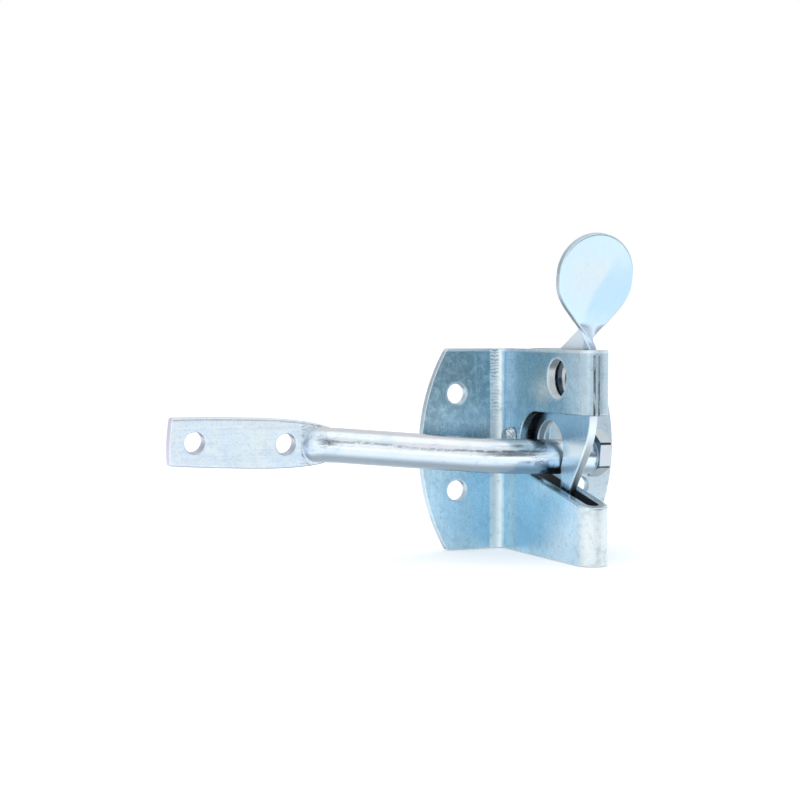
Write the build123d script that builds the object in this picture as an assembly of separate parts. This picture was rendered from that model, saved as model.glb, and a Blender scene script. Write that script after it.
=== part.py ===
"""Automatic gate latch: a folded latch plate, a swinging pawl on a rivet, and a strike bar.

Row frame, millimetres: the origin is on the back of the plate, midway between its four
screw holes. +Z is up, -Y points away from the gate post, +X runs towards the bar's head.
"""

import os
from math import cos, radians, sin, tan

from build123d import *

# ---- latch plate: one sheet folded flange, riser, nose, riser, flange -------------------
SHEET = 2.3               # sheet thickness
PLATE_HALF_WIDTH = 30.2   # from the middle to the tip of each bowed flange edge
PLATE_TOP = 26.3
PLATE_BOTTOM = -30.3
FLANGE_BOW_R = 55.0       # bow of the two outer edges
FLANGE_CORNER_R = 0.9
PROJECTION = 49.2         # back of the plate to the front of the nose
FOLD_WIDTH = 8.4          # over both risers, at the nose
FOLD_ROOT_WIDTH = 10.2    # and at the post: the fold is a little open
FLANGE_BEND_R = 2.8       # inside radius where a flange turns into a riser
SCREW_HOLE_D = 5.7
SCREW_SPACING_X = 39.0
SCREW_SPACING_Z = 27.2
CUT_EDGE = 0.25           # rolled-over edge left by the punch
NOTCH_EDGE = 0.45         # heavier roll-over round the notch

# ---- notch that receives the bar: round back, level top, ramped bottom -------------------
NOTCH_BACK_Y = -21.2
NOTCH_BACK_Z = 0.1
NOTCH_R = 9.0
RAMP_ANGLE = 11.9

# ---- padlock hole, through both risers and the pawl --------------------------------------
PADLOCK_Y = -33.5
PADLOCK_Z = 18.6
PADLOCK_D = 10.5
PAWL_PADLOCK_D = 11.3

# ---- pivot rivet ---------------------------------------------------------------------------
PIVOT_Y = -7.8
PIVOT_Z = 1.6
RIVET_D = 4.0
RIVET_HEAD_D = 5.3
RIVET_PEEN_H = 2.4        # hammered end, left
RIVET_PEEN_TIP_D = 4.0
RIVET_BUTTON_H = 1.7      # made head, right
PIVOT_CLEARANCE = 0.05    # radial, pawl on rivet

# ---- pawl: stamped lever, twisted neck and thumb paddle -------------------------------------
PAWL_T = 2.3
PAWL_BOSS_R = 5.1
PAWL_FRONT_Y = -46.2      # front edge, resting inside the nose
THROAT_Y = -23.4
THROAT_Z = -0.9
THROAT_R = 7.8
TOOTH_BACK_Y = -29.5
TOOTH_BOTTOM_Z = -13.2
PAWL_EDGE = 0.5           # tumbled edges of the thumb lever
WEB_Y = -41.6             # flat web that runs up behind the twisted neck
WEB_Z = 31.6
WEB_SLOPE = 26.0
NECK_W = 6.8
NECK_Y = -42.4            # where the twist starts
NECK_Z = 26.6
TWIST_LENGTH = 7.2
PADDLE_LEAN = 11.0        # forward of upright
PADDLE_R = 10.85
PADDLE_CENTRE = 19.9      # from the start of the twist, along the paddle
PADDLE_ROOT_W = 9.4       # where the twist ends

# ---- strike bar: headed rod, double bend, flattened end ---------------------------------------
ROD_D = 9.5
ROD_Y = -25.0             # rod axis where it crosses the latch
ROD_Z = -3.1
HEAD_X = 10.4             # underside of the head
HEAD_T = 4.4
HEAD_FLATS = 11.5
HEAD_RISE = 1.2           # upset slightly off the rod's axis
HEAD_CROWN = 1.3
BEND_1_X = -20.0
BEND_1_R = 24.0
BEND_2_X = -58.0
BEND_2_R = 15.0
FLAT_T = 4.4
FLAT_W = 13.5             # widest
FLAT_ROOT_W = 12.1        # beside the tongue
FLAT_END_W = 12.6
FLAT_FRONT_EDGE = 0.5     # sharp on the pressed side
FLAT_REAR_EDGE = 1.4
TONGUE_START_X = -62.0    # the rod's front begins to dip into the flat
TONGUE_TIP_X = -66.2
FLAT_END_X = -103.2
FLAT_HOLE_1_X = -96.3
FLAT_HOLE_2_X = -70.9
BAR_RISE = 2.2            # the loose bar lies a little nose-up to the left
BAR_ROLL = 3.5            # and rolled a little about its own rod


def yz_plane(x):
    """Plane across the latch at x; its local X is row Y and its local Y is row Z."""
    return Plane(origin=(x, 0, 0), x_dir=(0, 1, 0), z_dir=(1, 0, 0))


def through(profile, half):
    """Solid from a profile drawn in the Y-Z plane, spanning x = -half to +half."""
    return extrude(yz_plane(-half) * profile, amount=2 * half)


def soften(solid, edges, radius):
    """Round the given edges, leaving the solid as it is if there are none."""
    return fillet(edges, radius) if len(edges) else solid


def disc(y, z, diameter):
    return Pos(y, z) * Circle(diameter / 2)


def lens(half_width, bow_r, z_mid):
    """Region between two equal bowed edges, in the X-Z plane."""
    left = Pos(bow_r - half_width, z_mid) * Circle(bow_r)
    right = Pos(half_width - bow_r, z_mid) * Circle(bow_r)
    return left & right


NOSE_Y = -(PROJECTION - FOLD_WIDTH / 2)     # centre of the nose's bend


def riser_half(y):
    """Half of the fold's outside width at y."""
    root = FOLD_ROOT_WIDTH / 2
    return root + (FOLD_WIDTH / 2 - root) * y / NOSE_Y


def fold_strip(inset):
    """Plan of the tapering fold with its round nose, taken in by inset on each side."""
    root, nose = FOLD_ROOT_WIDTH / 2 - inset, FOLD_WIDTH / 2 - inset
    strip = make_face(Polyline((-root, 0), (root, 0), (nose, NOSE_Y), (-nose, NOSE_Y),
                               close=True))
    return strip + Pos(0, NOSE_Y) * Circle(nose)


def outside_notch(edge):
    """True for an edge of the notch that lies on the outer skin of the fold."""
    nose_y, half = NOSE_Y, FOLD_WIDTH / 2
    low, high = edge.bounding_box().min, edge.bounding_box().max
    at = edge @ 0.5
    on_riser = abs(abs(at.X) - riser_half(at.Y)) < 0.01 and nose_y < at.Y < -8
    on_nose = at.Y < nose_y and abs((at.X**2 + (at.Y - nose_y) ** 2) ** 0.5 - half) < 0.01
    level = low.Z > PLATE_BOTTOM + 1 and high.Z < PLATE_TOP - 1
    return level and (on_riser or on_nose)


def latch_plate():
    height = PLATE_TOP - PLATE_BOTTOM
    z_mid = (PLATE_TOP + PLATE_BOTTOM) / 2

    # plan of the fold: flanges and a rounded tongue, then the channel taken out of it
    outer = Pos(0, -SHEET / 2) * Rectangle(2 * PLATE_HALF_WIDTH, SHEET)
    outer += fold_strip(0)
    roots = [v for v in outer.vertices()
             if abs(abs(v.X) - riser_half(-SHEET)) < 0.01 and abs(v.Y + SHEET) < 0.01]
    outer = fillet(roots, FLANGE_BEND_R)
    mouth_r = FLANGE_BEND_R + SHEET
    gap = riser_half(-mouth_r) - SHEET
    channel = fold_strip(SHEET)
    for side in (-1, 1):
        corner = Pos(side * (gap + mouth_r / 2), -mouth_r / 2) * Rectangle(mouth_r, mouth_r)
        corner -= Pos(side * (gap + mouth_r), -mouth_r) * Circle(mouth_r)
        channel += corner
    plate = extrude(Pos(0, 0, PLATE_BOTTOM) * (outer - channel), amount=height)

    # bowed flange edges with small corners
    outline = lens(PLATE_HALF_WIDTH, FLANGE_BOW_R, z_mid)
    outline &= Pos(0, z_mid) * Rectangle(2 * PLATE_HALF_WIDTH, height)
    outline = fillet(outline.vertices(), FLANGE_CORNER_R)
    front = Plane(origin=(0, 1, 0), x_dir=(1, 0, 0), z_dir=(0, -1, 0))
    plate &= extrude(front * outline, amount=PROJECTION + 2)

    # four screw holes
    for sx in (-1, 1):
        for sz in (-1, 1):
            at = Pos(sx * SCREW_SPACING_X / 2, -SHEET / 2, sz * SCREW_SPACING_Z / 2)
            plate -= at * Rot(90, 0, 0) * Cylinder(SCREW_HOLE_D / 2, 2 * SHEET)

    # notch: round back, level top edge, ramp falling away towards the nose
    a = radians(RAMP_ANGLE)
    foot = (NOTCH_BACK_Y + NOTCH_R * sin(a), NOTCH_BACK_Z - NOTCH_R * cos(a))
    far = -PROJECTION - 4
    drop = (foot[0] - far) * sin(a) / cos(a)
    notch = Pos(NOTCH_BACK_Y, NOTCH_BACK_Z) * Circle(NOTCH_R)
    notch += make_face(Polyline(
        (NOTCH_BACK_Y, NOTCH_BACK_Z + NOTCH_R), (far, NOTCH_BACK_Z + NOTCH_R),
        (far, foot[1] - drop), foot, (NOTCH_BACK_Y, NOTCH_BACK_Z), close=True))
    plate -= through(notch, FOLD_ROOT_WIDTH)

    # roll-over on the outside of the notch
    lips = [e for e in plate.edges() if outside_notch(e)]
    plate = soften(plate, lips, NOTCH_EDGE)

    # padlock and rivet holes
    plate -= through(disc(PADLOCK_Y, PADLOCK_Z, PADLOCK_D), FOLD_ROOT_WIDTH)
    plate -= through(disc(PIVOT_Y, PIVOT_Z, RIVET_D), FOLD_ROOT_WIDTH)

    # rolled edges on the seen side of the round holes
    rims = [e for e in plate.edges().filter_by(GeomType.CIRCLE)
            if abs(e.radius - SCREW_HOLE_D / 2) < 0.01 and abs(e.center().Y + SHEET) < 0.01]
    plate = soften(plate, rims, CUT_EDGE)
    outside = riser_half(PADLOCK_Y)
    rims = [e for e in plate.edges() if abs(e.length - 3.1416 * PADLOCK_D) < 0.1
            and abs(abs(e.center().X) - outside) < 0.05]
    plate = soften(plate, rims, CUT_EDGE)
    return plate


def pivot_rivet():
    head_r = RIVET_HEAD_D / 2
    half = riser_half(PIVOT_Y + head_r)
    shank = Cylinder(RIVET_D / 2, 2 * half)
    # hammered end: a short flared stub with a flat, broken-edged tip
    stub_h = RIVET_PEEN_H - 0.5
    peen = Pos(0, 0, -half - 0.25) * Cylinder(head_r, 0.5)
    peen += Pos(0, 0, -half - 0.5 - stub_h / 2) * Cone(RIVET_PEEN_TIP_D / 2, head_r, stub_h)
    peen = fillet(peen.faces().sort_by(Axis.Z)[0].edges(), 0.35)
    # made head: a low dome
    dome_r = (head_r**2 + RIVET_BUTTON_H**2) / (2 * RIVET_BUTTON_H)
    button = Pos(0, 0, half + RIVET_BUTTON_H / 2) * Cylinder(head_r + 1, RIVET_BUTTON_H)
    button &= Pos(0, 0, half + RIVET_BUTTON_H - dome_r) * Sphere(dome_r)
    return Pos(0, PIVOT_Y, PIVOT_Z) * Rot(0, 90, 0) * (shank + peen + button)


def pawl_blank():
    """Flat part of the pawl, up to the start of the twist, in the Y-Z plane."""
    lean = radians(PADDLE_LEAN)
    half = NECK_W / 2
    neck_front = (NECK_Y - half * cos(lean), NECK_Z - half * sin(lean))
    web_foot = (-24.0, WEB_Z + (WEB_Y + 24.0) * tan(radians(WEB_SLOPE)) + 1.0)
    web_top = (WEB_Y + 1.0, WEB_Z + 0.6)
    lever = make_face([
        Polyline((PIVOT_Y - 1, PIVOT_Z + PAWL_BOSS_R - 0.1), web_foot, web_top,
                 (WEB_Y, WEB_Z), (NECK_Y, NECK_Z), neck_front, (PAWL_FRONT_Y, 22.0),
                 (PAWL_FRONT_Y, 9.5)),
        Spline((PAWL_FRONT_Y, 9.5), (-44.1, 1.8), (-39.6, -5.0), (-35.2, -10.9),
               tangents=[(0, -1), (0.55, -0.83)]),
        Polyline((-35.2, -10.9), (-33.6, TOOTH_BOTTOM_Z), (TOOTH_BACK_Y, TOOTH_BOTTOM_Z),
                 (TOOTH_BACK_Y, THROAT_Z), (-17.0, THROAT_Z), (-16.4, -5.6),
                 (PIVOT_Y, PIVOT_Z - PAWL_BOSS_R + 0.2),
                 (PIVOT_Y - 1, PIVOT_Z + PAWL_BOSS_R - 0.1))])
    lever += Pos(PIVOT_Y, PIVOT_Z) * Circle(PAWL_BOSS_R)
    lever -= Pos(THROAT_Y, THROAT_Z) * Circle(THROAT_R)
    lever -= disc(PADLOCK_Y, PADLOCK_Z, PAWL_PADLOCK_D)
    lever -= disc(PIVOT_Y, PIVOT_Z, RIVET_D + 2 * PIVOT_CLEARANCE)
    return lever


def twisted_neck(start, along):
    """Quarter twist of the strip, easing in and out, widening into the paddle."""
    steps = 8
    sections = []
    for i in range(steps + 1):
        t = i / steps
        turn = radians(90) * t * t * (3 - 2 * t)
        width = NECK_W * (1 - t) + PADDLE_ROOT_W * t**2.4
        across = start.x_dir * cos(turn) + start.y_dir * sin(turn) * -1
        plane = Plane(origin=start.origin + along * (TWIST_LENGTH * t), x_dir=across,
                      z_dir=along)
        sections.append(plane * RectangleRounded(PAWL_T, width, PAWL_EDGE))
    return loft(sections)


def latch_pawl():
    lever = through(pawl_blank(), PAWL_T / 2)
    corners = [e for e in lever.edges().filter_by(Axis.X)
               if abs(e.center().Z - TOOTH_BOTTOM_Z) < 0.1]
    lever = soften(lever, corners, 1.2)
    front = [e for e in lever.edges() if abs(abs(e.center().X) - PAWL_T / 2) < 0.01
             and e.center().Y < -36.5 and -12 < e.center().Z < 23]
    front = [e for e in front if e.geom_type != GeomType.CIRCLE]
    lever = soften(lever, front, PAWL_EDGE)

    # frame at the start of the twist: z along the neck, x across the sheet, y backward
    lean = radians(PADDLE_LEAN)
    along = Vector(0, -sin(lean), cos(lean))
    start = Plane(origin=(0, NECK_Y, NECK_Z), x_dir=(1, 0, 0), z_dir=along)

    # paddle: round on top, tapering almost straight down to the neck
    face_plane = Plane(origin=(0, NECK_Y, NECK_Z), x_dir=(1, 0, 0),
                       z_dir=(0, -cos(lean), -sin(lean)))
    root, shoulder = PADDLE_ROOT_W / 2, PADDLE_CENTRE - 0.47 * PADDLE_R
    side = [Spline((s * PADDLE_R, PADDLE_CENTRE), (s * 0.945 * PADDLE_R, shoulder),
                   (s * 0.8 * PADDLE_R, shoulder - 2.9), (s * root, TWIST_LENGTH),
                   tangents=[(0, -1), (s * -0.64, -0.77)]) for s in (-1, 1)]
    outline = make_face(side + [
        ThreePointArc((-PADDLE_R, PADDLE_CENTRE), (0, PADDLE_CENTRE + PADDLE_R),
                      (PADDLE_R, PADDLE_CENTRE)),
        Line((-root, TWIST_LENGTH), (root, TWIST_LENGTH))])
    paddle = extrude(face_plane * outline, amount=PAWL_T / 2, both=True)
    root_at = start.origin + along * TWIST_LENGTH
    rims = [e for e in paddle.edges() if (e.center() - root_at).dot(along) > 0.5
            and e.length > 2 * PAWL_T]
    paddle = soften(paddle, rims, PAWL_EDGE)
    return lever + twisted_neck(start, along) + paddle


def flat_outline(rear):
    """Front view of the forged end, bellied, narrowing until it is lost in the rod."""
    end, mid, root = FLAT_END_W / 2, FLAT_W / 2, FLAT_ROOT_W / 2
    belly_x = (TONGUE_TIP_X + FLAT_END_X) / 2
    upper = Spline((FLAT_END_X + 0.4, end), (belly_x, mid), (TONGUE_TIP_X + 1.0, root),
                   (BEND_2_X - 0.6, ROD_D / 2), (BEND_2_X + 4.5, ROD_D / 2 - 1.6),
                   tangents=[(1, 0.05), (1, -0.2)])
    lower = upper.mirror(Plane.XZ)
    tail = Line(upper @ 1, lower @ 1)
    tip = ThreePointArc(upper @ 0, (FLAT_END_X, 0), lower @ 0)
    plane = Plane(origin=(0, rear, 0), x_dir=(1, 0, 0), z_dir=(0, -1, 0))
    return plane * make_face([upper, tail, lower, tip])


def strike_bar():
    # drawn level with the rod axis on X; the flattened end is set back to the post plane
    rear = -ROD_Y
    axis_y = rear - ROD_D / 2
    line = Polyline((HEAD_X + 1, 0, 0), (BEND_1_X, 0, 0), (BEND_2_X, axis_y, 0),
                    (TONGUE_START_X, axis_y, 0)).wire()
    for x, radius in ((BEND_1_X, BEND_1_R), (BEND_2_X, BEND_2_R)):
        corner = [v for v in line.vertices() if abs(v.X - x) < 0.01]
        line = line.fillet_2d(radius, corner)
    rod = sweep(Plane(origin=(HEAD_X + 1, 0, 0), z_dir=(-1, 0, 0)) * Circle(ROD_D / 2), line)

    # the rod ends as a rounded tongue on the front of the forged flat
    root_x = TONGUE_START_X
    reach = root_x - TONGUE_TIP_X
    dome = Ellipse(reach, ROD_D / 2) & Pos(-reach / 2, ROD_D / 4) * Rectangle(reach, ROD_D / 2)
    tongue = Pos(root_x, axis_y, 0) * revolve(dome, Axis.X)

    flat = extrude(flat_outline(rear), amount=FLAT_T)
    for y, radius in ((rear, FLAT_REAR_EDGE), (rear - FLAT_T, FLAT_FRONT_EDGE)):
        rims = [e for e in flat.edges() if abs(e.center().Y - y) < 0.01
                and e.center().X < BEND_2_X]
        if radius == FLAT_FRONT_EDGE:
            rims += [e for e in flat.edges().filter_by(Axis.Y) if e.center().X < FLAT_HOLE_1_X]
        flat = fillet(rims, radius)
    # its tail follows the rod as the rod bends away from the post plane
    away = axis_y / (BEND_1_X - BEND_2_X)
    tail_x = TONGUE_START_X + 0.5
    spare = make_face(Polyline((tail_x, rear), (tail_x + 20, rear - 20 * away),
                               (tail_x + 20, rear + 1), (tail_x, rear + 1), close=True))
    flat -= extrude(Pos(0, 0, -FLAT_W) * spare, amount=2 * FLAT_W)
    flat = flat + rod + tongue
    for x in (FLAT_HOLE_1_X, FLAT_HOLE_2_X):
        flat -= Pos(x, rear, 0) * Rot(90, 0, 0) * Cylinder(SCREW_HOLE_D / 2, 2 * ROD_D)

    rims = [e for e in flat.edges() if abs(e.length - 3.1416 * SCREW_HOLE_D) < 0.05]
    flat = soften(flat, rims, CUT_EDGE)

    # upset hexagonal head with a crowned end
    hexagon = Plane(origin=(HEAD_X, 0, HEAD_RISE), x_dir=(0, 0, 1), z_dir=(1, 0, 0)) * RegularPolygon(
        HEAD_FLATS / 2, 6, major_radius=False)
    head = extrude(hexagon, amount=HEAD_T)
    corner_r = HEAD_FLATS / 2 / cos(radians(30))
    crown_r = (corner_r**2 + HEAD_CROWN**2) / (2 * HEAD_CROWN)
    head &= Pos(HEAD_X + HEAD_T - crown_r, 0, HEAD_RISE) * Sphere(crown_r)

    bar = flat + head
    return Pos(0, ROD_Y, ROD_Z) * Rot(0, BAR_RISE, 0) * Rot(BAR_ROLL, 0, 0) * bar


PARTS = {
    "latch_plate": latch_plate,
    "pivot_rivet": pivot_rivet,
    "latch_pawl": latch_pawl,
    "strike_bar": strike_bar,
}

os.makedirs("parts", exist_ok=True)
for name, make in PARTS.items():
    export_step(make(), f"parts/{name}.step")
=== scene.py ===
"""Finishes, studio and camera for the automatic gate latch. Metres, in the part's own frame."""

import math

import bpy
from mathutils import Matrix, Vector


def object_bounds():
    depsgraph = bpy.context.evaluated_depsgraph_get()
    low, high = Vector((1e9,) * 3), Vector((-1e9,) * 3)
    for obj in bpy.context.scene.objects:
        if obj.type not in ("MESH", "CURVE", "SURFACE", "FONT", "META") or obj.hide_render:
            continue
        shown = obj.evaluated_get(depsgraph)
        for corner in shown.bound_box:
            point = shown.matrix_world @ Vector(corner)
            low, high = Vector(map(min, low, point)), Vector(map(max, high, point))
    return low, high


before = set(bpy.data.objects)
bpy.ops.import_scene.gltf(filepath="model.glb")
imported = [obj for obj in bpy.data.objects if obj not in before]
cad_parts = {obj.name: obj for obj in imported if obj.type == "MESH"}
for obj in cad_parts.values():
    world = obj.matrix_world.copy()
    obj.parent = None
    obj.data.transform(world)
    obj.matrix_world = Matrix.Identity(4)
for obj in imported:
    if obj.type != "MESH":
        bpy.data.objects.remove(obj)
cad_low, cad_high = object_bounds()

MM = 0.001

# features that the finishes follow, in millimetres: centres as (x, y, z), and radii
PADLOCK_HOLE = (0, -33.5, 18.6)
PLATE_PADLOCK_R = 5.25
PAWL_PADLOCK_R = 5.65
POST_SCREW = (19.5, 0, 13.6)
THROAT = (0, -23.4, -0.9)
TONGUE = (-70.1, 0, -0.7)
TONGUE_STRETCH = 1.13
HEAD_LAPS = ((0, -31.0, 0.55), (0, -30.6, -6.05))
BRAKE_MARK_PITCH = 0.95
SHARP_ANGLE = math.radians(28)

# studio
FLOOR_HALF = 6.0
FLOOR_GAP = 0.0002
FLOOR_GLOW = 0.34
FRONT = (0.387, -0.921, 0.0)


# ---- node helpers ---------------------------------------------------------------------------
def rgb(r, g, b):
    return (r, g, b, 1.0)


# the first is the near black of painted shade
PAINTED_SHADE_BLACK = rgb(0.03, 0.04, 0.05)
MATT_WHITE = rgb(0.97, 1.0, 1.0)
PALE_EDGE = rgb(0.86, 0.93, 0.97)


class Graph:
    """Thin wrapper that makes and links shader nodes."""

    def __init__(self, tree):
        self.tree = tree
        tree.nodes.clear()

    def node(self, kind, **values):
        made = self.tree.nodes.new("ShaderNode" + kind)
        for key, value in values.items():
            setattr(made, key, value)
        return made

    def point(self, x=0.0, y=0.0, z=0.0):
        """A place put together from separate values."""
        made = self.node("CombineXYZ")
        for i, value in enumerate((x, y, z)):
            self.feed(made.inputs[i], value)
        return made.outputs[0]

    def feed(self, socket, value):
        if hasattr(value, "is_output"):
            self.tree.links.new(value, socket)
        else:
            socket.default_value = value

    def math(self, operation, a, b=0.0, clamp=False):
        made = self.node("Math", operation=operation, use_clamp=clamp)
        self.feed(made.inputs[0], a)
        self.feed(made.inputs[1], b)
        return made.outputs[0]

    def times(self, *values):
        out = values[0]
        for value in values[1:]:
            out = self.math("MULTIPLY", out, value)
        return out

    def ramp(self, value, low, high, to_low=0.0, to_high=1.0):
        made = self.node("MapRange", interpolation_type="SMOOTHSTEP")
        for i, v in enumerate((value, low, high, to_low, to_high)):
            self.feed(made.inputs[i], v)
        return made.outputs[0]

    def band(self, value, low, high, soft):
        """1 between low and high, easing to 0 over soft on both sides."""
        return self.times(self.ramp(value, low - soft, low), self.ramp(value, high + soft, high))

    def mix(self, factor, a, b, blend="MIX"):
        made = self.node("Mix", data_type="RGBA", blend_type=blend)
        self.feed(made.inputs[0], factor)
        self.feed(made.inputs[6], a)
        self.feed(made.inputs[7], b)
        return made.outputs[2]

    def noise(self, vector, scale, detail=3.0, rough=0.5, stretch=(1, 1, 1), shift=(0, 0, 0)):
        place = self.node("Mapping")
        self.feed(place.inputs["Vector"], vector)
        place.inputs["Scale"].default_value = stretch
        place.inputs["Location"].default_value = shift
        made = self.node("TexNoise")
        self.feed(made.inputs["Vector"], place.outputs[0])
        made.inputs["Scale"].default_value = scale
        made.inputs["Detail"].default_value = detail
        made.inputs["Roughness"].default_value = rough
        return made.outputs["Fac"]

    def spot(self, vector, centre, inner, outer):
        """1 within inner of a point in the part's frame, 0 beyond outer (millimetres)."""
        made = self.node("VectorMath", operation="DISTANCE")
        self.feed(made.inputs[0], vector)
        made.inputs[1].default_value = [c * MM for c in centre]
        return self.ramp(made.outputs["Value"], outer * MM, inner * MM)

    def own_normal(self, normal=None):
        """A surface normal in the body's own frame, so that marks stay put when it moves."""
        turn = self.node("VectorTransform", vector_type="NORMAL", convert_from="WORLD",
                         convert_to="OBJECT")
        self.feed(turn.inputs[0], normal or self.node("NewGeometry").outputs["Normal"])
        split = self.node("SeparateXYZ")
        self.feed(split.inputs[0], turn.outputs[0])
        return split.outputs

    def bump(self, height, distance, strength, normal):
        made = self.node("Bump")
        made.inputs["Strength"].default_value = strength
        made.inputs["Distance"].default_value = distance
        self.feed(made.inputs["Height"], height)
        self.feed(made.inputs["Normal"], normal)
        return made.outputs[0]


class Zinc:
    """Bright zinc on steel: cloudy colour, drawing streaks, fine grain, pale edges that are partly
    wear and partly painted highlight.
    """

    PALE = rgb(0.92, 0.95, 0.97)

    def __init__(self, name, base, deep, tint, rough, streak_axis, shift=(0, 0, 0), edge=0.4,
                 cloud_scale=70):
        self.material = bpy.data.materials.new(name)
        self.material.use_nodes = True
        g = self.g = Graph(self.material.node_tree)
        self.place = g.node("TexCoord").outputs["Object"]
        split = g.node("SeparateXYZ")
        g.feed(split.inputs[0], self.place)
        self.x, self.y, self.z = split.outputs[:3]
        stretch = [1.0, 1.0, 1.0]
        stretch[streak_axis] = 0.05

        self.cloud = g.noise(self.place, cloud_scale, 4, 0.6, shift=shift)
        self.iris = g.noise(self.place, 45, 2, 0.5, shift=(0.3 + shift[0], 0.1, 0.2))
        self.blotch = g.noise(self.place, 480, 5, 0.65, shift=shift)
        self.streak = g.noise(self.place, 1000, 3, 0.6, stretch=stretch, shift=shift)
        self.grain = g.noise(self.place, 4200, 2, 0.5)

        rounded = g.node("Bevel", samples=8)
        rounded.inputs["Radius"].default_value = edge * MM
        self.normal = rounded.outputs[0]
        facing = g.node("VectorMath", operation="DOT_PRODUCT")
        g.feed(facing.inputs[0], self.normal)
        g.feed(facing.inputs[1], g.node("NewGeometry").outputs["Normal"])
        self.worn_and_highlit = g.ramp(facing.outputs["Value"], 0.998, 0.88)

        self.colour = g.mix(g.ramp(self.cloud, 0.40, 0.66), base, deep)
        self.over(g.times(g.ramp(self.iris, 0.46, 0.64), 0.6), tint)
        self.gloss = rough

    def over(self, factor, colour):
        """Lay another tone over the finish."""
        self.colour = self.g.mix(factor, self.colour, colour)

    def dull(self, factor, amount):
        self.gloss = self.g.math("ADD", self.gloss, self.g.times(factor, amount))

    def speckle(self, amount, dark):
        g = self.g
        self.over(g.times(g.ramp(self.blotch, 0.50, 0.72), amount), dark)
        self.over(g.times(g.ramp(self.grain, 0.55, 0.75), 0.6 * amount), dark)
        self.over(g.times(g.ramp(self.grain, 0.44, 0.30), 0.8 * amount), self.PALE)

    def scratch(self, amount):
        g = self.g
        self.over(g.times(g.ramp(self.streak, 0.55, 0.78), amount), self.PALE)

    def close(self, grain_depth, streak_depth, edge_amount=0.6, extra=()):
        """Edges, roughness variation, bump, and the shader itself."""
        g = self.g
        patchy = g.ramp(self.cloud, 0.35, 0.65, 0.6, 1.0)
        down = g.own_normal(self.normal)["Z"]
        # painted shade: faces that point down are darkened
        self.over(g.times(g.ramp(down, -0.30, -0.65), 0.7), rgb(0.18, 0.23, 0.26))
        # pale edges: partly wear, partly a painted highlight on the rounded edges
        self.over(g.times(self.worn_and_highlit, edge_amount, patchy), self.PALE)
        gloss = g.math("ADD", self.gloss, g.times(g.math("SUBTRACT", self.blotch, 0.5), 0.22))
        gloss = g.math("ADD", gloss, g.times(g.math("SUBTRACT", self.streak, 0.5), 0.14))
        normal = g.bump(self.streak, streak_depth * MM, 0.4, self.normal)
        height = g.math("ADD", g.times(self.grain, 0.35), self.blotch)
        normal = g.bump(height, grain_depth * MM, 0.35, normal)
        for relief, depth in extra:
            normal = g.bump(relief, depth * MM, 1.0, normal)
        shader = g.node("BsdfPrincipled")
        shader.inputs["Metallic"].default_value = 1.0
        g.feed(shader.inputs["Base Color"], self.colour)
        g.feed(shader.inputs["Roughness"], gloss)
        g.feed(shader.inputs["Normal"], normal)
        g.feed(g.node("OutputMaterial").inputs["Surface"], shader.outputs[0])
        return self.material


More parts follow.
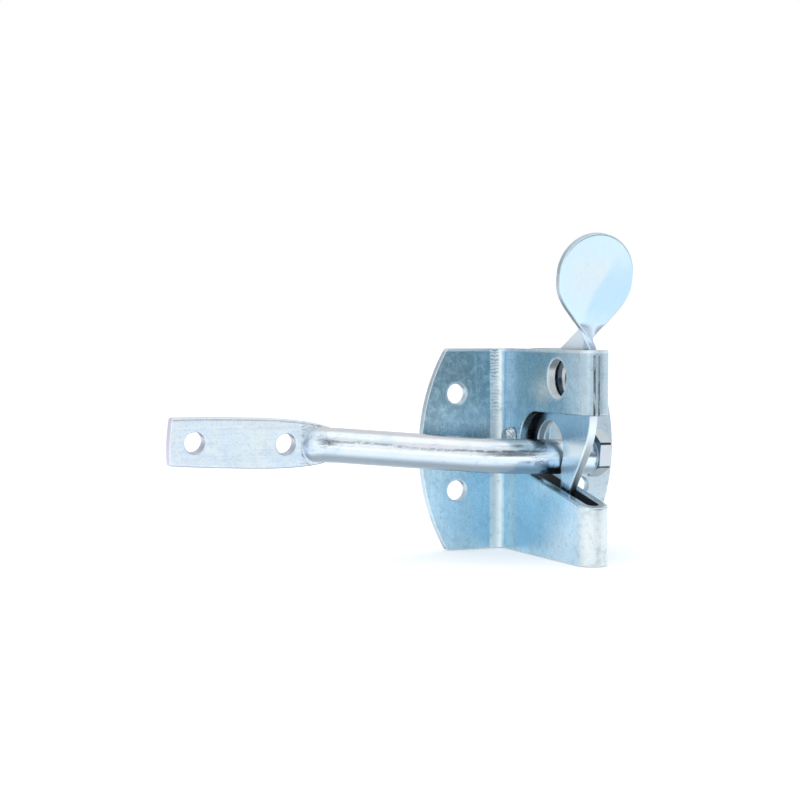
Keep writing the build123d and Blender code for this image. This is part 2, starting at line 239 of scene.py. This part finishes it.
# ---- the four finishes ------------------------------------------------------------------------
def plate_zinc():
    """Folded plate: grey-teal above and sky blue below, partly its own tone and partly painted
    shade and reflection; pale over the nose; painted shade, near black and dull, inside the fold.
    """
    z = Zinc("plate_zinc", rgb(0.44, 0.67, 0.82), rgb(0.35, 0.57, 0.73), rgb(0.56, 0.72, 0.80),
             0.27, 2, edge=0.5)
    g = z.g
    # darker grey-teal above and sky blue below: partly the plating's own tone, partly painted shade
    # and reflection
    upper = g.ramp(z.z, -4 * MM, 12 * MM)
    lower = g.ramp(z.z, 0.0, -22 * MM)
    wavy = g.math("ADD", z.y, g.times(g.math("SUBTRACT", z.iris, 0.5), 12 * MM))
    z.over(g.times(upper, g.ramp(z.cloud, 0.34, 0.6, 0.45, 0.95)), rgb(0.34, 0.51, 0.60))
    z.over(g.times(upper, g.ramp(z.blotch, 0.47, 0.40), 0.30), rgb(0.66, 0.80, 0.88))
    z.over(g.times(lower, 0.75), rgb(0.43, 0.66, 0.80))
    z.over(g.times(lower, g.ramp(z.iris, 0.48, 0.62), 0.6), rgb(0.50, 0.78, 0.98))
    z.over(g.times(lower, g.ramp(z.cloud, 0.48, 0.36), 0.5), rgb(0.42, 0.60, 0.66))
    flange = g.ramp(z.y, -3.5 * MM, -2.6 * MM)
    # the flange fronts darker teal towards the top: painted dark reflection, broken up by blotches
    z.over(g.times(flange, g.ramp(z.z, 2 * MM, 15 * MM), g.ramp(z.blotch, 0.38, 0.60, 0.4, 1.0),
                   0.75), rgb(0.18, 0.31, 0.38))
    stripe = g.times(g.band(z.y, -10.5 * MM, -4.0 * MM, 1.0 * MM), g.ramp(z.z, -6 * MM, 4 * MM))
    z.over(g.times(stripe, g.ramp(z.cloud, 0.35, 0.6, 0.45, 0.75)), rgb(0.38, 0.62, 0.87))
    z.over(g.times(g.ramp(wavy, -33 * MM, -41 * MM), 0.7), rgb(0.62, 0.78, 0.90))
    z.over(g.times(g.spot(z.place, (-4.6, -25, 16), 2.0, 8), 0.65), rgb(0.60, 0.64, 0.62))
    z.over(g.times(g.spot(z.place, (-4.4, -34, -25), 2, 11), 0.5), rgb(0.72, 0.80, 0.88))
    nose = g.ramp(z.y, -44 * MM, -47.5 * MM)
    z.over(g.times(nose, g.ramp(z.iris, 0.35, 0.6, 0.6, 0.95)), rgb(0.40, 0.50, 0.56))
    z.over(g.times(nose, g.ramp(z.x, -0.2 * MM, 1.4 * MM), 0.6), rgb(0.52, 0.64, 0.72))
    z.over(g.times(nose, lower, 0.8), rgb(0.80, 0.85, 0.85))

    # pale borders: the top edge and the rims of the flanges; the right flange, which lies in shade,
    # is painted pale all over as painted light
    bow = g.math("SUBTRACT", g.math("ABSOLUTE", z.x), g.ramp(g.math("ABSOLUTE", z.z),
                 0.0, 45 * MM, 30.2 * MM, 18 * MM))
    border = g.times(g.ramp(bow, -3.2 * MM, -0.6 * MM), flange, lower)
    z.over(g.times(border, 0.25), rgb(0.66, 0.84, 0.98))
    # the top edge pale and matt: partly a sheared edge, partly a painted highlight
    top = g.times(g.ramp(z.z, 25.2 * MM, 25.8 * MM), g.ramp(z.blotch, 0.35, 0.55, 0.5, 1.0))
    z.over(g.times(top, 0.8), PALE_EDGE)
    z.dull(top, 0.25)
    right = g.times(g.ramp(z.x, 7 * MM, 13 * MM), g.band(z.y, -3.2 * MM, -2.0 * MM, 0.4 * MM))
    z.over(g.times(right, 0.8), g.mix(lower, rgb(0.66, 0.74, 0.80), rgb(0.86, 0.95, 1.0)))
    z.dull(right, 0.30)

    facing = g.own_normal()
    upright = g.ramp(g.math("ABSOLUTE", facing["Z"]), 0.6, 0.3)

    # the bend: a painted highlight along it, with closely spaced brake marks in its upper half
    bend = g.times(g.band(z.x, -9.0 * MM, -6.1 * MM, 0.4 * MM), g.ramp(z.y, -4.4 * MM, -3.8 * MM),
                   g.ramp(z.y, -1.0 * MM, -2.0 * MM), upright)
    z.over(g.times(bend, g.ramp(z.cloud, 0.3, 0.6, 1.0, 0.85)), rgb(0.93, 1.0, 1.0))
    wander = g.times(g.math("SUBTRACT", z.blotch, 0.5), 16.0)
    phase = g.times(z.z, 2 * math.pi / (BRAKE_MARK_PITCH * MM))
    marks = g.math("SINE", g.math("ADD", phase, wander))
    marks = g.times(g.ramp(marks, 0.25, 0.9), g.band(z.x, -9.0 * MM, -6.9 * MM, 0.5 * MM), bend,
                    g.ramp(z.cloud, 0.40, 0.60, 0.2, 1.0), g.ramp(z.z, 1 * MM, 8 * MM, 0.06, 1.0))
    z.over(g.times(marks, 0.65), rgb(0.16, 0.22, 0.28))
    z.dull(bend, 0.30)

    # upright scuffs of the folding tool on the upper nose
    line_noise = g.noise(z.place, 1500, 3, 0.7, stretch=(1, 1, 0.14))
    scuffs = g.math("MAXIMUM", g.band(z.x, -1.62 * MM, -1.3 * MM, 0.2 * MM),
                    g.times(g.band(z.x, -0.42 * MM, -0.12 * MM, 0.2 * MM), 0.8))
    scuffs = g.times(scuffs, g.band(z.z, 9 * MM, 24.5 * MM, 1.0 * MM), nose,
                     g.ramp(line_noise, 0.30, 0.48))
    z.over(g.times(scuffs, 0.95), rgb(0.05, 0.05, 0.05))
    z.dull(scuffs, 0.25)

    # pale rings round the screw holes and the padlock hole, a painted highlight on their rounded
    # rims; the padlock hole's wall painted matt white, painted light
    corner = g.point(x=g.math("ABSOLUTE", z.x), z=g.math("ABSOLUTE", z.z))
    screw = g.times(g.spot(corner, POST_SCREW, 3.25, 3.6), flange)
    profile = g.point(y=z.y, z=z.z)
    lock = g.spot(profile, PADLOCK_HOLE, PLATE_PADLOCK_R + 0.50, PLATE_PADLOCK_R + 0.85)
    rings = g.times(g.math("MAXIMUM", screw, lock), g.ramp(z.blotch, 0.35, 0.6, 0.9, 0.5))
    z.over(g.times(rings, 0.75), rgb(0.80, 0.90, 0.95))
    z.dull(rings, 0.12)
    bored = g.spot(profile, PADLOCK_HOLE, PLATE_PADLOCK_R + 0.05, PLATE_PADLOCK_R + 0.17)
    z.over(g.times(bored, 0.9), MATT_WHITE)
    z.dull(bored, 0.40)

    # sheared rim of the flanges: pale and matt
    sideways = g.ramp(g.math("ABSOLUTE", facing["Y"]), 0.7, 0.3)
    rim = g.times(sideways, g.ramp(z.y, -2.45 * MM, -2.35 * MM),
                  g.ramp(g.math("ABSOLUTE", z.x), 10 * MM, 14 * MM))
    z.over(g.times(rim, g.ramp(z.grain, 0.40, 0.60, 0.5, 0.9)), rgb(0.78, 0.86, 0.92))
    z.dull(rim, 0.3)

    # painted shade inside the narrow fold: near black, and duller
    half = g.math("ADD", g.times(g.math("ADD", z.y, 45 * MM), 0.02), 1.9 * MM)
    past_nose = g.math("MINIMUM", g.math("ADD", z.y, 45 * MM), 0.0)
    from_middle = g.math("SQRT", g.math("ADD", g.times(z.x, z.x), g.times(past_nose, past_nose)))
    depth = g.math("SUBTRACT", from_middle, half)
    inside = g.times(g.ramp(depth, 0.16 * MM, 0.04 * MM), g.ramp(z.y, -4 * MM, -9 * MM))
    z.speckle(0.30, rgb(0.16, 0.27, 0.33))
    z.scratch(0.14)
    z.over(g.times(inside, 0.93), PAINTED_SHADE_BLACK)
    z.dull(inside, 0.35)
    relief = g.times(bend, z.grain)
    return z.close(0.035, 0.05, 0.95, [(relief, 0.03), (g.times(marks, -1.0), 0.05),
                                       (g.times(scuffs, -1.0), 0.04)])


def pawl_zinc():
    """Pawl: clear bright blue, creamy in the middle of the paddle, duller down the lever."""
    z = Zinc("pawl_zinc", rgb(0.58, 0.78, 0.90), rgb(0.50, 0.70, 0.85), rgb(0.70, 0.79, 0.80),
             0.24, 2, shift=(0.07, 0.02, 0.05), edge=0.35)
    g = z.g
    z.speckle(0.10, rgb(0.45, 0.57, 0.66))
    z.scratch(0.12)
    paddle = g.ramp(z.z, 27 * MM, 33 * MM)
    z.over(g.times(paddle, 0.9), rgb(0.63, 0.79, 0.87))
    z.over(g.times(paddle, g.spot(z.place, (-1.5, -46, 45), 2, 10), 0.7), rgb(0.69, 0.75, 0.75))
    z.over(g.times(paddle, g.ramp(z.iris, 0.46, 0.60), 0.35), rgb(0.58, 0.74, 0.92))
    lean = g.math("ADD", z.x, g.times(g.math("SUBTRACT", z.z, 43 * MM), -0.5))
    lean = g.math("ADD", lean, g.times(g.math("SUBTRACT", z.iris, 0.5), 8 * MM))
    side = g.times(g.ramp(lean, 0.5 * MM, 2.4 * MM), g.ramp(z.z, 53 * MM, 44 * MM), paddle,
                   g.ramp(z.z, 33 * MM, 38 * MM, 0.5, 1.0))
    z.over(g.times(side, 0.75), rgb(0.47, 0.68, 0.88))
    ripple = g.math("ADD", z.z, g.times(g.math("SUBTRACT", z.cloud, 0.5), 6 * MM))
    neck = g.band(ripple, 27 * MM, 31.6 * MM, 2.4 * MM)
    z.over(g.times(neck, g.ramp(z.iris, 0.35, 0.6, 0.4, 0.8)), rgb(0.84, 0.87, 0.97))
    z.dull(neck, 0.26)
    lever = g.ramp(z.z, 24 * MM, 18 * MM)
    z.over(g.times(lever, 0.7), rgb(0.52, 0.69, 0.83))
    glare = g.times(g.band(z.z, -1.4 * MM, 0.2 * MM, 2.6 * MM), g.ramp(z.y, -31 * MM, -36 * MM))
    z.over(g.times(glare, 0.9), rgb(0.95, 1.0, 1.0))
    z.dull(glare, 0.20)

    # matt rim of the paddle
    facing = g.own_normal()
    across = g.math("ADD", g.times(facing["Y"], 0.98), g.times(facing["Z"], 0.19))
    rim = g.times(g.ramp(g.math("ABSOLUTE", across), 0.8, 0.4),
                  g.ramp(z.z, 33 * MM, 36 * MM))
    z.over(g.times(rim, g.ramp(z.blotch, 0.4, 0.6, 0.6, 0.9)), rgb(0.56, 0.63, 0.67))
    z.dull(rim, 0.3)
    web = g.times(g.band(z.z, 24 * MM, 34 * MM, 1 * MM), g.ramp(z.y, -42.5 * MM, -41.5 * MM))
    z.over(g.times(web, 0.9), rgb(0.88, 0.92, 0.95))
    z.dull(web, 0.25)

    # painted highlight along the rounded front edge
    front = g.times(g.ramp(g.math("ABSOLUTE", facing["X"]), 0.85, 0.55),
                    g.ramp(z.y, -34 * MM, -36 * MM), g.ramp(z.z, 24 * MM, 22 * MM))
    z.over(g.times(front, 0.85), PALE_EDGE)
    z.dull(front, 0.2)

    # painted shade where the lever hides in the fold; just inside its padlock hole, the near half
    # of the wall painted dark as painted shade and the far half painted matt white as painted light
    hidden = g.times(g.ramp(z.y, -23 * MM, -19 * MM), g.ramp(z.z, 20 * MM, 12 * MM))
    profile = g.point(y=z.y, z=z.z)
    lock = g.spot(profile, PADLOCK_HOLE, PAWL_PADLOCK_R + 0.07, PAWL_PADLOCK_R + 0.20)
    throat = g.spot(profile, THROAT, 7.84, 7.90)
    hidden = g.math("SUBTRACT", hidden, throat, clamp=True)
    z.over(g.times(hidden, 0.92), PAINTED_SHADE_BLACK)
    near = g.ramp(z.x, 0.3 * MM, 0.0)
    z.over(g.times(lock, 0.92), g.mix(near, MATT_WHITE, rgb(0.05, 0.07, 0.11)))
    z.dull(g.times(lock, g.math("SUBTRACT", 1.0, near)), 0.40)
    z.worn_and_highlit = g.math("SUBTRACT", z.worn_and_highlit, lock, clamp=True)
    # the throat's wall painted dark, painted shade, between pale arrises
    arris = g.ramp(g.math("ABSOLUTE", z.x), 0.65 * MM, 0.85 * MM)
    z.over(g.times(throat, 0.9), g.mix(arris, rgb(0.20, 0.26, 0.30), rgb(0.90, 0.95, 0.98)))
    z.dull(throat, 0.15)
    return z.close(0.02, 0.03, 0.8, [(glare, 0.12)])


def rivet_zinc():
    """Pivot rivet: hammered end, brownish where the plating broke."""
    z = Zinc("rivet_zinc", rgb(0.74, 0.82, 0.86), rgb(0.36, 0.44, 0.50), rgb(0.76, 0.78, 0.76),
             0.26, 0, shift=(0.01, 0.04, 0.03), edge=0.2, cloud_scale=600)
    g = z.g
    tip = g.ramp(z.x, -6.6 * MM, -7.0 * MM)
    z.over(g.times(tip, g.ramp(z.blotch, 0.46, 0.60), 0.6), rgb(0.36, 0.30, 0.22))
    z.speckle(0.45, rgb(0.14, 0.16, 0.18))
    dents = g.noise(z.place, 800, 2, 0.5, shift=(0.2, 0.1, 0.4))
    folds = g.math("ABSOLUTE", g.math("SUBTRACT", dents, 0.5))
    folds = g.ramp(folds, 0.05, 0.0)
    z.over(g.times(folds, 0.8), rgb(0.06, 0.08, 0.10))
    return z.close(0.06, 0.03, 0.5, [(dents, 0.8), (g.times(folds, -1.0), 0.1)])


def bar_zinc():
    """Strike bar: pale, lavender and faintly yellow in places, rough where it was forged."""
    z = Zinc("bar_zinc", rgb(0.82, 0.89, 0.93), rgb(0.70, 0.80, 0.89), rgb(0.84, 0.84, 0.90),
             0.20, 0, shift=(0.02, 0.06, 0.01), edge=0.45, cloud_scale=110)
    g = z.g
    flat = g.ramp(z.x, -59 * MM, -66 * MM)
    rod = g.math("SUBTRACT", 1.0, flat)
    z.over(g.times(flat, 0.6), rgb(0.74, 0.84, 0.90))
    z.dull(flat, 0.16)
    warm = g.noise(z.place, 60, 2, 0.5, shift=(0.5, 0.2, 0.7))
    z.over(g.times(g.ramp(warm, 0.52, 0.66), 0.35), rgb(0.88, 0.86, 0.76))
    sky = g.noise(z.place, 75, 3, 0.5, shift=(0.1, 0.8, 0.3))
    z.over(g.times(g.ramp(sky, 0.50, 0.64), flat, 0.5), rgb(0.66, 0.80, 0.96))
    # painted shade: the rod where the fold shades it, tinted pale sky blue
    shaded = g.ramp(z.x, -16 * MM, -2 * MM)
    z.over(g.times(shaded, 0.6), rgb(0.74, 0.90, 1.0))
    fine = g.noise(z.place, 1500, 3, 0.6, shift=(0.3, 0.3, 0.9))
    z.over(g.times(g.ramp(fine, 0.50, 0.62), flat, 0.30), rgb(0.46, 0.56, 0.62))
    patch = g.noise(z.place, 210, 3, 0.6, shift=(0.6, 0.1, 0.8))
    z.over(g.times(g.ramp(patch, 0.52, 0.60), flat, 0.30), rgb(0.62, 0.74, 0.94))
    z.speckle(0.10, rgb(0.46, 0.54, 0.64))
    z.scratch(0.15)

    # the rod by which way it faces, painted reflection: cream on top, a white highlight band, blue
    # below, and a dark line a third of the way down, broken up by noise
    facing = g.own_normal()
    height = facing["Z"]
    z.over(g.times(g.ramp(height, 0.72, 0.86), rod, 0.7), rgb(0.60, 0.60, 0.61))
    z.over(g.times(g.band(height, -0.05, 0.22, 0.08), rod, 0.8), MATT_WHITE)
    z.over(g.times(g.ramp(height, 0.10, -0.20), rod, 0.6), rgb(0.66, 0.78, 0.92))
    line_breakup = g.noise(z.place, 1100, 4, 0.75, stretch=(0.3, 1, 1), shift=(0.2, 0.6, 0.1))
    wobble = g.math("ADD", height, g.times(g.math("SUBTRACT", z.iris, 0.5), 0.5))
    line = g.times(g.band(wobble, 0.26, 0.32, 0.08), g.ramp(line_breakup, 0.36, 0.54),
                   g.band(z.x, -62 * MM, -6 * MM, 3 * MM))
    z.over(g.times(line, g.ramp(z.x, -40 * MM, -14 * MM, 0.65, 0.9)), rgb(0.18, 0.22, 0.27))
    z.dull(line, 0.2)

    # sheared rims and hole walls of the flat: matt, a little lavender
    rim = g.times(g.ramp(g.math("ABSOLUTE", facing["Y"]), 0.6, 0.3),
                  g.ramp(z.x, -64 * MM, -68 * MM))
    z.over(g.times(rim, 0.75), rgb(0.82, 0.80, 0.88))
    z.dull(rim, 0.25)
    end = g.ramp(z.x, -102.4 * MM, -103.0 * MM)
    z.over(g.times(end, 0.6), rgb(0.77, 0.73, 0.87))

    # hexagonal head: the underside darkened blue, painted shade; dark laps between its pale sides
    head = g.ramp(z.x, 9.7 * MM, 10.0 * MM)
    under = g.times(g.ramp(facing["X"], -0.6, -0.9), head)
    z.over(g.times(head, 0.7), rgb(0.57, 0.62, 0.68))
    z.dull(head, 0.12)
    z.over(g.times(under, 0.85), rgb(0.16, 0.30, 0.40))
    profile = g.point(y=z.y, z=z.z)
    laps = g.math("MAXIMUM", *[g.spot(profile, lap, 0.25, 0.55) for lap in HEAD_LAPS])
    laps = g.times(laps, head)
    z.worn_and_highlit = g.math("SUBTRACT", z.worn_and_highlit, laps, clamp=True)
    z.over(g.times(laps, 0.95), rgb(0.02, 0.03, 0.04))

    # lengthwise drawing lines on the rod
    lines = g.noise(z.place, 900, 4, 0.7, stretch=(0.03, 1, 1), shift=(0.4, 0.1, 0.6))
    z.over(g.times(g.ramp(lines, 0.55, 0.68), rod, 0.25), rgb(0.36, 0.42, 0.50))

    # forging wrinkles where the rod runs into the flat, and scuffs beside the latch
    crumple = g.noise(z.place, 620, 4, 0.7, stretch=(0.5, 1, 1.4), shift=(0.9, 0.4, 0.1))
    root = g.band(z.x, -66.0 * MM, -61.5 * MM, 1.5 * MM)
    scuff = g.times(g.band(z.x, -8.5 * MM, -5.0 * MM, 2 * MM), 0.8)
    wrinkled = g.math("MAXIMUM", root, scuff)
    z.over(g.times(wrinkled, g.ramp(crumple, 0.52, 0.62), 0.35), rgb(0.30, 0.36, 0.46))
    # a dark ring round the rod's end where it runs into the flat: painted shade in the crease
    tip = g.point(x=g.times(z.x, TONGUE_STRETCH), z=z.z)
    outer, inner = g.spot(tip, TONGUE, 4.9, 5.3), g.spot(tip, TONGUE, 4.4, 4.8)
    ring = g.times(g.math("SUBTRACT", outer, inner), g.ramp(z.x, -61 * MM, -63 * MM),
                   g.ramp(crumple, 0.42, 0.55, 0.2, 1.0))
    z.over(g.times(ring, 0.6), rgb(0.25, 0.31, 0.40))
    slow = g.noise(z.place, 130, 2, 0.5, stretch=(0.5, 1, 1))
    return z.close(0.04, 0.04, 0.6, [(slow, 0.10), (lines, 0.05),
                                     (g.times(wrinkled, crumple), 0.25)])


FINISHES = {"latch_plate": plate_zinc, "latch_pawl": pawl_zinc, "pivot_rivet": rivet_zinc,
            "strike_bar": bar_zinc}

for node, finish in FINISHES.items():
    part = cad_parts[node]
    part.data.materials.clear()
    part.data.materials.append(finish())
    # smooth faces, kept sharp where they meet steeply; vertices stay put
    mesh = part.data
    mesh.polygons.foreach_set("use_smooth", [True] * len(mesh.polygons))
    mesh.set_sharp_from_angle(angle=SHARP_ANGLE)


# ---- studio: pale floor, soft lights, even white surroundings -----------------------------------
def floor():
    size, z = FLOOR_HALF, cad_low[2] - FLOOR_GAP
    mesh = bpy.data.meshes.new("floor")
    mesh.from_pydata([(-size, -size, z), (size, -size, z), (size, size, z), (-size, size, z)],
                     [], [(0, 1, 2, 3)])
    table = bpy.data.objects.new("floor", mesh)
    bpy.context.scene.collection.objects.link(table)
    material = bpy.data.materials.new("floor_paper")
    material.use_nodes = True
    g = Graph(material.node_tree)
    shader = g.node("BsdfPrincipled")
    shader.inputs["Base Color"].default_value = rgb(0.93, 0.935, 0.94)
    shader.inputs["Roughness"].default_value = 0.9
    # a light table: the paper glows a little, so it stays white out to its far edge
    shader.inputs["Emission Color"].default_value = rgb(0.96, 0.98, 1.0)
    shader.inputs["Emission Strength"].default_value = FLOOR_GLOW
    g.feed(g.node("OutputMaterial").inputs["Surface"], shader.outputs[0])
    mesh.materials.append(material)


def surroundings():
    world = bpy.data.worlds.new("studio")
    bpy.context.scene.world = world
    world.use_nodes = True
    g = Graph(world.node_tree)
    way = g.node("TexCoord").outputs["Generated"]
    split = g.node("SeparateXYZ")
    g.feed(split.inputs[0], way)
    across = g.node("VectorMath", operation="DOT_PRODUCT")
    g.feed(across.inputs[0], way)
    across.inputs[1].default_value = FRONT
    facing = g.math("MULTIPLY", across.outputs["Value"], across.outputs["Value"])
    # bright tent with a bluish opening front right and its opposite; seen directly it is white
    tent = g.mix(g.ramp(split.outputs["Z"], 0.0, 0.8), rgb(0.80, 0.85, 0.89), rgb(0.90, 0.91, 0.92))
    room = g.mix(g.ramp(facing, 0.50, 0.95), tent, rgb(0.13, 0.175, 0.205))
    seen = g.node("LightPath").outputs["Is Camera Ray"]
    back = g.node("Background")
    g.feed(back.inputs["Color"], g.mix(seen, room, rgb(1.0, 1.0, 1.0)))
    g.feed(g.node("OutputWorld").inputs["Surface"], back.outputs[0])


def softbox(name, at, aim, size, power, colour=(1, 1, 1)):
    light = bpy.data.lights.new(name, "AREA")
    light.shape = "RECTANGLE"
    light.size, light.size_y = size
    light.energy = power
    light.color = colour
    lamp = bpy.data.objects.new(name, light)
    lamp.location = at
    lamp.rotation_euler = (Vector(aim) - Vector(at)).to_track_quat("-Z", "Y").to_euler()
    bpy.context.scene.collection.objects.link(lamp)


floor()
surroundings()
softbox("top", (-0.05, -0.10, 0.75), (-0.02, -0.01, 0), (0.9, 0.7), 0.5)
softbox("front_left", (-0.75, -0.55, 0.30), (-0.02, -0.02, 0.01), (0.45, 0.6), 0.5)


# ---- camera: from the left, a little above ----------------------------------------------------
def camera():
    data = bpy.data.cameras.new("camera")
    data.lens = 81.0
    data.sensor_width = 36.0
    data.clip_start = 0.01
    view = bpy.data.objects.new("camera", data)
    view.location = (-0.22965, -0.46067, 0.03348)
    azimuth, pitch = math.radians(22.82), math.radians(2.46)
    view.rotation_euler = (math.pi / 2 - pitch, 0, -azimuth)
    bpy.context.scene.collection.objects.link(view)
    bpy.context.scene.camera = view


camera()
bpy.context.scene.view_settings.view_transform = "Standard"
